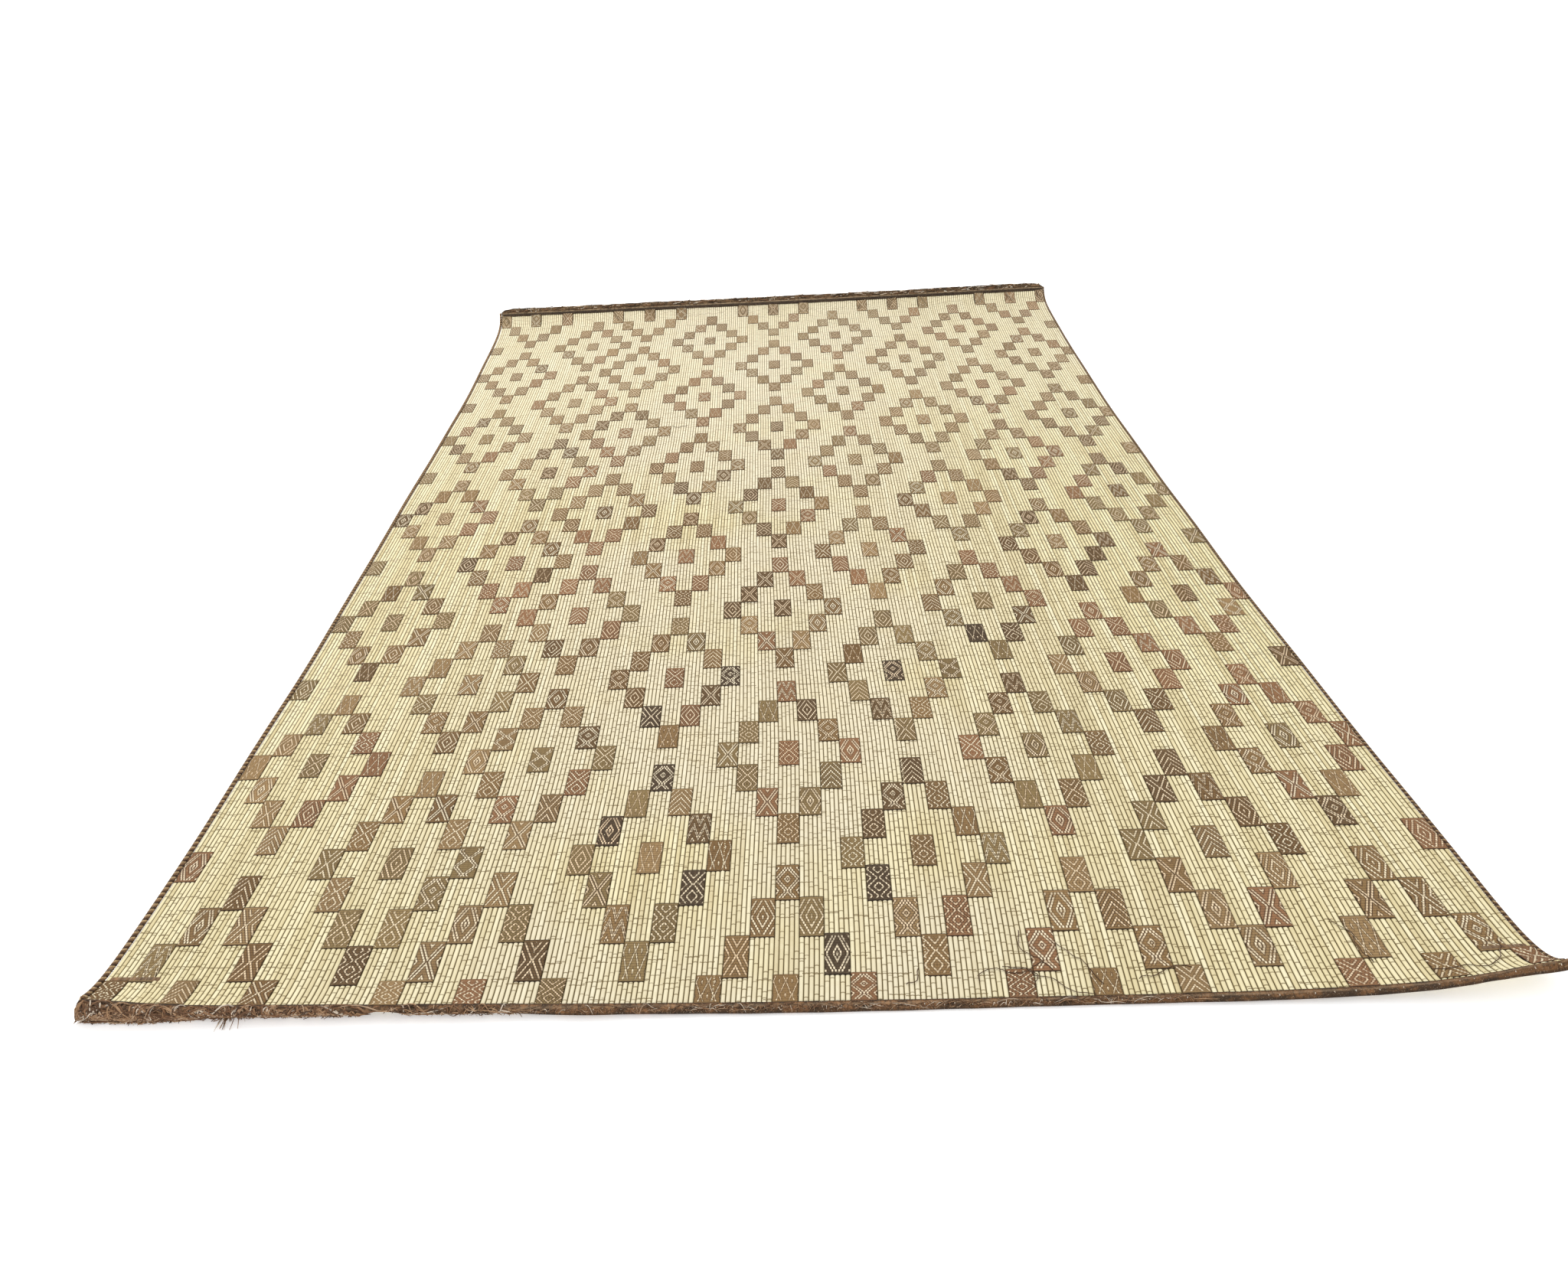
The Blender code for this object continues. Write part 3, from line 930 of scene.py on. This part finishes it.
# %% Lay hairs on the back strip
def back_hairs():
    """Short hairs along the top of the back strip, paler towards the right."""
    dice = np.random.default_rng(77)
    made = []
    for reed in np.arange(1.0, REEDS - 1.0, 0.8):
        share = np.linspace(0.0, 1.0, 4)
        reeds = np.clip(reed + dice.normal(0, 2.2) * share, 0.5, REEDS - 0.5)
        out = BACK_BINDING_WIDTH * (dice.uniform(0.1, 0.8) + dice.uniform(0.0, 0.25) * share)
        height = 0.0098 + 0.0025 * np.sin(share * math.pi)
        pale_one = dice.random() < 0.15 + 0.35 * reed / REEDS
        tone = dice.uniform(0.75, 1.0) if pale_one else dice.uniform(0.0, 0.5)
        made.append((lay(reeds, REED_LENGTH + out, height), dice.uniform(0.0008, 0.0017), 1.0, tone))
    return made


stray = tube_piece("loose_threads", threads + back_hairs(), sides=4)

# %% [markdown]
# ## Finishes as expressions
# A finish is a small calculation that Blender runs for each point of the surface. Writing it as node by
# node wiring hides the sum, so a small class wraps a socket, and plain Python signs add the Math nodes.


# %% Wrap a socket
class Wire:
    """One output of a node. Sums on it add Math nodes."""

    def __init__(self, finish, socket):
        self.finish = finish
        self.socket = socket

    def _math(self, operation, *values):
        keys = ("Value", "Value_001", "Value_002")
        return self.finish.node("Math", {"operation": operation}, dict(zip(keys, values)))

    def __add__(self, other):
        return self._math("ADD", self, other)

    def __radd__(self, other):
        return self._math("ADD", other, self)

    def __sub__(self, other):
        return self._math("SUBTRACT", self, other)

    def __rsub__(self, other):
        return self._math("SUBTRACT", other, self)

    def __mul__(self, other):
        return self._math("MULTIPLY", self, other)

    def __rmul__(self, other):
        return self._math("MULTIPLY", other, self)

    def __truediv__(self, other):
        return self._math("DIVIDE", self, other)

    def __rtruediv__(self, other):
        return self._math("DIVIDE", other, self)

    def __gt__(self, other):
        return self._math("GREATER_THAN", self, other)

    def __lt__(self, other):
        return self._math("LESS_THAN", self, other)

    def __abs__(self):
        return self._math("ABSOLUTE", self)

    def floor(self):
        return self._math("FLOOR", self)

    def part(self):
        return self._math("FRACT", self)

    def wrap(self, period):
        """The distance to the nearest multiple of period, with its sign."""
        return self._math("WRAP", self, period * 0.5, period * -0.5)

    def least(self, other):
        return self._math("MINIMUM", self, other)

    def most(self, other):
        return self._math("MAXIMUM", self, other)

    def ramp(self, low, high, start=0.0, end=1.0):
        """A soft step from start to end as the value goes from low to high."""
        sockets = {"Value": self, "From Min": low, "From Max": high, "To Min": start, "To Max": end}
        return self.finish.node("MapRange", {"interpolation_type": "SMOOTHSTEP"}, sockets)


# %% Wrap a material
class Finish:
    """A material with one Principled shader. Constants are set on the shader's own sockets."""

    def __init__(self, name, constants):
        self.material = bpy.data.materials.new(name)
        self.material.use_nodes = True
        self.tree = self.material.node_tree
        self.shader = self.tree.nodes["Principled BSDF"]
        for key, value in constants.items():
            self.shader.inputs[key].default_value = value

    @staticmethod
    def find(sockets, key):
        by_id = [socket for socket in sockets if socket.identifier == key]
        return by_id[0] if by_id else sockets[key]

    def plug(self, socket, value):
        if isinstance(value, Wire):
            self.tree.links.new(value.socket, socket)
        elif isinstance(value, tuple) and len(value) == 3 and socket.type == "RGBA":
            socket.default_value = (*value, 1.0)
        else:
            socket.default_value = value

    def node(self, kind, settings=None, sockets=None, out=0):
        """Adds a node of a kind, sets it up, then fills its sockets. Gives one of its outputs."""
        made = self.tree.nodes.new("ShaderNode" + kind)
        for key, value in (settings or {}).items():
            if key == "stops":
                self.set_stops(made.color_ramp, value)
            else:
                setattr(made, key, value)
        for key, value in (sockets or {}).items():
            self.plug(self.find(made.inputs, key), value)
        if isinstance(out, tuple):
            return [Wire(self, self.find(made.outputs, one)) for one in out]
        return Wire(self, made.outputs[out] if isinstance(out, int) else self.find(made.outputs, out))

    @staticmethod
    def set_stops(ramp, stops):
        while len(ramp.elements) < len(stops):
            ramp.elements.new(0.5)
        for element, (place, colour) in zip(ramp.elements, stops):
            element.position = place
            element.color = (*colour, 1.0)

    def numbers(self, name):
        """The three numbers that the mesh carries under a name."""
        vector = self.node("Attribute", {"attribute_name": name}, out="Vector")
        return self.node("SeparateXYZ", sockets={"Vector": vector}, out=("X", "Y", "Z"))

    def vector(self, x, y, z=0.0):
        return self.node("CombineXYZ", sockets={"X": x, "Y": y, "Z": z})

    def chance(self, x, y=0.0, z=0.0):
        """A steady random number for a place."""
        vector = self.vector(x, y, z)
        return self.node("TexWhiteNoise", {"noise_dimensions": "3D"}, {"Vector": vector}, out="Value")

    def cloud(self, vector, scale, detail=3.0, rough=0.55):
        sockets = {"Vector": vector, "Scale": scale, "Detail": detail, "Roughness": rough}
        return self.node("TexNoise", {"noise_dimensions": "3D"}, sockets, out="Fac")

    def mix(self, factor, first, second):
        settings = {"data_type": "RGBA", "clamp_factor": True}
        sockets = {"Factor_Float": factor, "A_Color": first, "B_Color": second}
        return self.node("Mix", settings, sockets, out="Result_Color")

    def bump(self, height, strength, distance):
        sockets = {"Height": height, "Strength": strength, "Distance": distance}
        return self.node("Bump", sockets=sockets, out="Normal")

    def finish(self, colour, roughness, normal):
        self.plug(self.shader.inputs["Base Color"], colour)
        self.plug(self.shader.inputs["Roughness"], roughness)
        self.plug(self.shader.inputs["Normal"], normal)
        print("finish", self.material.name, "has", len(self.tree.nodes), "nodes")
        return self.material


# %% [markdown]
# ## Dry straw
# No two reeds have the same colour, and each changes along its length. Each reed is painted darker
# towards its sides, and the gaps between reeds are painted dark: both are painted shade.
# Fine wefts cross one reed, or a few, at uneven steps: they are what holds the mat together, and from a
# distance they make its brick-like texture. All of it is counted in reeds and metres, so it follows every
# curl.


# %% Straw finish
def straw_finish():
    f = Finish("dry_straw", {"Specular IOR Level": 0.22})
    reed, t, _ = f.numbers("place")
    number = reed.floor()
    across = reed.part()
    own = f.chance(number, 3.1)
    streak = f.cloud(f.vector(number * 7.31, t * 2.2, 1.0), 1.6, 3.0)
    stain = f.cloud(f.vector(reed * 0.012, t * 1.25, 4.0), 1.5, 4.0)
    fibre = f.cloud(f.vector(reed * 6.0, t * 22.0, number), 1.0, 3.0)
    stops = (
        (0.0, (0.55, 0.43, 0.22)),
        (0.35, (0.75, 0.65, 0.38)),
        (0.7, (0.88, 0.79, 0.50)),
        (1.0, (0.94, 0.88, 0.62)),
    )
    straw = f.node("ValToRGB", {"stops": stops}, {"Fac": own * 0.55 + streak * 0.6}, out="Color")
    from_middle = abs(reed / REEDS - 0.46) * 2.0
    bleached = (1.0 - from_middle.ramp(0.15, 0.85)) * stain.ramp(0.30, 0.60)
    straw = f.mix(bleached * 0.75, straw, (0.84, 0.765, 0.60))
    far = t.ramp(1.5, 3.5)
    straw = f.mix(far * 0.55, straw, (0.92, 0.85, 0.66))
    straw = f.mix(stain.ramp(0.55, 0.75) * 0.35, straw, (0.80, 0.66, 0.36))
    straw = f.mix(fibre.ramp(0.55, 0.8) * 0.18, straw, (0.50, 0.38, 0.20))
    side = across.least(1.0 - across)
    gap_width = 0.085 + 0.07 * f.cloud(f.vector(number * 3.7, t * 9.0, 9.0), 1.0, 2.0)
    gap = 1.0 - (side / gap_width).ramp(0.55, 1.25)
    # Painted shade: each reed darkens towards its sides, where the round stem turns away from the light.
    edge = 1.0 - side.ramp(0.0, 0.32)
    single_cell = t / 0.0215 + own * 5.0
    single_row = single_cell.floor()
    single_at = 0.25 + 0.5 * f.chance(number, single_row, 5.0)
    loose = f.cloud(f.vector(reed * 0.045, t * 3.1, 21.0), 1.0, 3.0)
    single_cast = f.chance(number, single_row, 9.0)
    single = 1.0 - abs(single_cell.part() - single_at).ramp(0.03, 0.085)
    single = single * (single_cast > 0.94 - loose * 1.25) * (0.35 + 0.65 * single_cast)
    long_cell = t / 0.047 + 0.37
    long_row = long_cell.floor()
    group = (reed / 3.0 + f.chance(long_row, 2.0) * 7.0).floor()
    long_at = 0.3 + 0.4 * f.chance(group, long_row, 7.0)
    several = 1.0 - abs(long_cell.part() - long_at).ramp(0.012, 0.034)
    several = several * (f.chance(group, long_row, 6.0) > 0.98 - loose * 0.9)
    tie = single.most(several)
    # Painted shade: the gaps between reeds are coloured dark, a little less so further back.
    dark = (0.085, 0.055, 0.012)
    bead = f.chance(number, (t / 0.0125 + own * 3.0).floor(), 12.0)
    colour = f.mix(bead * 0.16, straw, (0.52, 0.41, 0.20))
    colour = f.mix(edge * 0.42, colour, (0.42, 0.30, 0.08))
    colour = f.mix(gap * (0.94 - 0.2 * far), colour, dark)
    colour = f.mix(tie * (0.80 - 0.3 * far), colour, (0.17, 0.11, 0.036))
    height = tie * 0.6 + fibre * 0.25 - gap * 0.8
    return f.finish(colour, roughness=0.55 + 0.2 * streak, normal=f.bump(height, 0.5, 0.0006))


straw = straw_finish()
ground.data.materials.append(straw)

# %% [markdown]
# ## Woven leather
# The block's stitches follow a chart of fifteen by sixteen counts. A motif is a line folded about the
# middle of the block, so that one formula gives nested lozenges, crosses and zigzags. The line is drawn
# single or double in pale thread, one dash for each count, with a dark band beside it, partly dark thread
# and partly painted shadow, and dark thread between the two.
# Further back the tones are mixed half way towards one paler brown.


# %% Block finish
CHART_COUNTS = 15.0


def block_finish():
    f = Finish("woven_leather", {"Specular IOR Level": 0.12})
    u, v, number = f.numbers("block")
    folds, repeats, phase = f.numbers("motif")
    swing, line, double = f.numbers("lines")
    period, _, _ = f.numbers("period")
    tone = f.node("Attribute", {"attribute_name": "tone"}, out="Color")
    counts = u * CHART_COUNTS
    picks = v * WEFTS
    chart_u = (counts.floor() + 0.5) / CHART_COUNTS
    fold = abs(((chart_u * 0.3 + u * 0.7) * folds).part() * 2.0 - 1.0)
    chart_v = (picks.floor() + 0.5) / WEFTS
    wave = abs((chart_v * repeats + phase).part() * 2.0 - 1.0)
    across_pick = abs((v * repeats + phase).part() * 2.0 - 1.0)
    near = (fold - swing * (wave * 0.35 + across_pick * 0.65) - line).wrap(period)
    gap = abs(near)
    off_line = abs(gap - double)
    on_line = 1.0 - off_line.ramp(0.050, 0.085)
    dash = 1.0 - abs(picks.part() - 0.5).ramp(0.30, 0.5)
    turn = ((counts.floor() + picks.floor()) * 0.5).part() * 2.0
    cell = f.chance(counts.floor(), picks.floor(), number)
    pale = on_line * (0.30 + 0.70 * dash) * (cell > 0.06) * (0.55 + 0.45 * turn)
    between = (1.0 - gap.ramp(0.05, 0.10)) * (double > 0.05) * (0.35 + 0.55 * (cell > 0.35))
    stitched_dark = f.chance(number, 8.0).ramp(0.1, 0.9)
    # The dark band beside a pale line is partly dark thread, more of it in some blocks, and partly painted
    # shadow.
    shadow = (1.0 - off_line.ramp(0.14, 0.20)) * (1.0 - on_line) * (0.45 + 0.55 * stitched_dark)
    rim = v.least(1.0 - v)
    plain_end = rim.ramp(0.045, 0.085)
    pale = pale * plain_end
    between = between * plain_end
    shadow = shadow * plain_end
    dark_rim = 1.0 - rim.ramp(0.012, 0.035)
    side_rim = 1.0 - u.least(1.0 - u).ramp(0.0, 0.035)
    grain = f.cloud(f.vector(u * 9.0, v * 14.0, number * 31.0), 1.0, 4.0, 0.65)
    patch = f.cloud(f.vector(u * 1.3, v * 1.5, number * 17.0), 1.0, 2.0)
    rib = abs(picks.part() - 0.5).ramp(0.30, 0.5)
    reed_gap = abs((u * BLOCK_REEDS).part() - 0.5).ramp(0.40, 0.5)
    far = f.numbers("place")[1].ramp(1.4, 3.6)
    colour = f.mix(grain.ramp(0.45, 0.8) * 0.3, tone, (0.42, 0.29, 0.17))
    colour = f.mix(far * 0.5, colour, (0.43, 0.32, 0.19))
    colour = f.mix(patch.ramp(0.5, 0.75) * 0.25, colour, (0.10, 0.062, 0.036))
    # Painted shade: the grooves between the weft ribs and over the gaps between reeds are darkened.
    colour = f.mix(rib * 0.50 + reed_gap * 0.20, colour, (0.035, 0.022, 0.014))
    thread = f.mix(f.chance(number, 5.0), (0.90, 0.68, 0.44), (0.98, 0.88, 0.64))
    colour = f.mix((between * 0.80).most(shadow * 0.75), colour, (0.060, 0.034, 0.020))
    colour = f.mix(pale * 0.95, colour, thread)
    colour = f.mix((dark_rim * 0.75).most(side_rim * 0.4), colour, (0.035, 0.024, 0.018))
    height = pale * 0.9 + grain * 0.4 - rib * 0.6 - reed_gap * 0.35
    return f.finish(colour, roughness=0.6 + 0.25 * grain, normal=f.bump(height, 0.5, 0.0007))


woven = block_finish()
for piece in blocks:
    piece.data.materials.append(woven)

# %% [markdown]
# ## Worn goat leather
# The strips carry painted shade where they meet the reeds and, in part, along their outer fold. They have
# dark patches, are rubbed pale on the crest, and dust has settled in the grain. A painted image would fix
# one set of marks. Clouds of noise at four sizes, counted along and across the strip, give marks that never
# repeat and follow the leather where it bends.

# %% Strip finish
Hide = namedtuple("Hide", "base worn fold_dark crest_at line_strength frayed_dark")
FRONT_HIDE = Hide((0.125, 0.062, 0.026), (0.33, 0.165, 0.072), (0.036, 0.024, 0.015), 0.30, 0.25, 0.45)
BACK_HIDE = Hide((0.085, 0.052, 0.028), (0.25, 0.160, 0.085), (0.030, 0.020, 0.012), 0.02, 0.80, 0.00)


def strip_finish(name, hide):
    f = Finish(name, {"Specular IOR Level": 0.15})
    reed, out, _ = f.numbers("place")
    wear = f.cloud(f.vector(reed * 0.8, out * 2.2, 2.0), 1.0, 5.0, 0.7)
    patch = f.cloud(f.vector(reed * 0.20, out * 0.8, 8.0), 1.0, 4.0)
    grain = f.cloud(f.vector(reed * 4.0, out * 9.0, 5.0), 1.0, 3.0, 0.7)
    crest = 1.0 - abs(out - hide.crest_at).ramp(0.05, 0.22)
    less_worn = 1.0 - 0.5 * reed.ramp(130.0, 190.0)
    colour = f.mix(wear.ramp(0.38, 0.62) * 0.85 * less_worn, hide.base, hide.worn)
    colour = f.mix(patch.ramp(0.44, 0.60) * 0.80, colour, hide.fold_dark)
    speck = f.cloud(f.vector(reed * 1.7, out * 1.2, 14.0), 1.0, 2.0)
    colour = f.mix(speck.ramp(0.52, 0.60) * 0.55, colour, hide.fold_dark)
    frayed = out.ramp(0.50, 0.85) * (1.0 - reed.ramp(60.0, 82.0)) * hide.frayed_dark
    colour = f.mix(frayed, colour, (0.050, 0.034, 0.022))
    colour = f.mix(crest * hide.line_strength * wear.ramp(0.25, 0.6), colour, (0.52, 0.38, 0.24))
    # Painted shade: the strip is darkened where it meets the reeds. Along the outer fold the dark is partly
    # painted shade and partly the hem's own darker colour.
    inner = 1.0 - out.ramp(-0.02, 0.10)
    outer = out.ramp(0.86, 1.0)
    colour = f.mix((inner * 0.8).most(outer * 0.7), colour, (0.03, 0.02, 0.014))
    colour = f.mix((grain > 0.62) * 0.40, colour, (0.62, 0.50, 0.36))
    height = wear * 0.6 + grain * 0.4
    return f.finish(colour, roughness=0.55 + 0.3 * wear, normal=f.bump(height, 0.6, 0.0009))


worn_leather = strip_finish("worn_goat_leather", FRONT_HIDE)
for piece in (front_strip, bars):
    piece.data.materials.append(worn_leather)
back_strip.data.materials.append(strip_finish("rolled_goat_leather", BACK_HIDE))

# %% [markdown]
# ## Thongs, threads and plies
# All of these are thin tubes that carry a tone from dark hide to pale thread. One finish can therefore
# serve them all: the tone picks a colour on a ramp, and a small cloud adds flecks of dirt and dust.


# %% Strand finish
def strand_finish(name, stops, flecks):
    """For threads, thongs and plies. The first of a strand's numbers is its tone."""
    f = Finish(name, {"Specular IOR Level": 0.15})
    tone, length, turn = f.numbers("strand")
    shade = f.node("ValToRGB", {"stops": stops}, {"Fac": tone}, out="Color")
    fleck = f.cloud(f.vector(length * flecks, turn * 0.6, tone * 9.0), 1.0, 3.0, 0.6)
    colour = f.mix(fleck.ramp(0.45, 0.65) * 0.55, shade, (0.05, 0.035, 0.025))
    colour = f.mix((fleck < 0.36) * 0.35, colour, (0.66, 0.56, 0.42))
    return f.finish(colour, roughness=0.6 + 0.3 * fleck, normal=f.bump(fleck, 0.5, 0.0006))


thong_stops = (
    (0.0, (0.070, 0.040, 0.024)),
    (0.3, (0.24, 0.120, 0.060)),
    (0.55, (0.44, 0.270, 0.150)),
    (0.8, (0.66, 0.530, 0.400)),
    (1.0, (0.85, 0.790, 0.680)),
)
cord_stops = (
    (0.0, (0.055, 0.032, 0.020)),
    (0.35, (0.20, 0.105, 0.055)),
    (0.7, (0.52, 0.36, 0.19)),
    (1.0, (0.68, 0.60, 0.46)),
)
thong_leather = strand_finish("frayed_thong_leather", thong_stops, 6.0)
cord_leather = strand_finish("twisted_cord_leather", cord_stops, 900.0)
for piece in (sewing, fringe, stray):
    piece.data.materials.append(thong_leather)
for piece in (left_cord, right_cord):
    piece.data.materials.append(cord_leather)

# %% [markdown]
# ## Floor, light and camera
# The mat is shown on a plain pale floor under soft light from above, with only a faint shadow under its
# lifted edges. The camera stands where a person would, a little over one and a half metres up.

# %% Floor and light
floor_mesh = bpy.data.meshes.new("floor")
FLOOR_HALF = 60.0
corners = [(x * FLOOR_HALF, y * FLOOR_HALF, -0.0005) for x, y in ((-1, -1), (1, -1), (1, 1), (-1, 1))]
floor_mesh.from_pydata(corners, [], [(0, 1, 2, 3)])
floor = bpy.data.objects.new("floor", floor_mesh)
bpy.context.scene.collection.objects.link(floor)
glow = {"Emission Color": (1.0, 1.0, 1.0, 1.0), "Emission Strength": 0.31}
pale = Finish("pale_floor", {"Roughness": 0.9, "Base Color": (0.97, 0.97, 0.97, 1.0), **glow})
floor_mesh.materials.append(pale.material)


def soft_light(name, place, size, power, target=(0.0, 0.0, 0.0)):
    data = bpy.data.lights.new(name, "AREA")
    data.size = size
    data.energy = power
    lamp = bpy.data.objects.new(name, data)
    bpy.context.scene.collection.objects.link(lamp)
    lamp.location = place
    way = np.array(place) - np.array(target)
    way = way / np.linalg.norm(way)
    side = np.cross((0.0, 1.0, 0.0), way)
    side = side / np.linalg.norm(side)
    lamp.rotation_euler = Matrix(np.array([side, np.cross(way, side), way]).T.tolist()).to_euler()


soft_light("sky_panel", (-1.8, 1.2, 4.2), 2.5, 82.0)
world = bpy.data.worlds.new("pale_room")
world.use_nodes = True
world.node_tree.nodes["Background"].inputs["Color"].default_value = (1.0, 1.0, 1.0, 1.0)
world.node_tree.nodes["Background"].inputs["Strength"].default_value = 0.955
bpy.context.scene.world = world
bpy.context.scene.view_settings.view_transform = "Standard"

# %% Camera
IMAGE_WIDTH = 2048
FOCAL_PIXELS = 1500.0
AXIS_PIXEL = 952.3
PITCH = math.radians(32.38)
ROLL = math.radians(-3.87)
YAW = math.radians(3.33)
EYE = np.array([0.001, -3.238, 1.555]) + ORIGIN_SHIFT

level_right = np.array([math.cos(YAW), math.sin(YAW), 0.0])
level_ahead = np.array([-math.sin(YAW), math.cos(YAW), 0.0])
ahead = math.cos(PITCH) * level_ahead + np.array([0.0, 0.0, -math.sin(PITCH)])
up = math.sin(PITCH) * level_ahead + np.array([0.0, 0.0, math.cos(PITCH)])
camera_x = math.cos(ROLL) * level_right + math.sin(ROLL) * up
camera_y = -math.sin(ROLL) * level_right + math.cos(ROLL) * up

lens = bpy.data.cameras.new("eye")
lens.sensor_width = 36.0
lens.lens = FOCAL_PIXELS / IMAGE_WIDTH * lens.sensor_width
lens.shift_x = 0.5 - AXIS_PIXEL / IMAGE_WIDTH
camera = bpy.data.objects.new("eye", lens)
bpy.context.scene.collection.objects.link(camera)
placed = np.eye(4)
placed[:3, :3] = np.array([camera_x, camera_y, -ahead]).T
placed[:3, 3] = EYE
camera.matrix_world = Matrix(placed.tolist())
bpy.context.scene.camera = camera
print("the eye is", EYE.round(3), "with a lens of", round(lens.lens, 2), "mm")
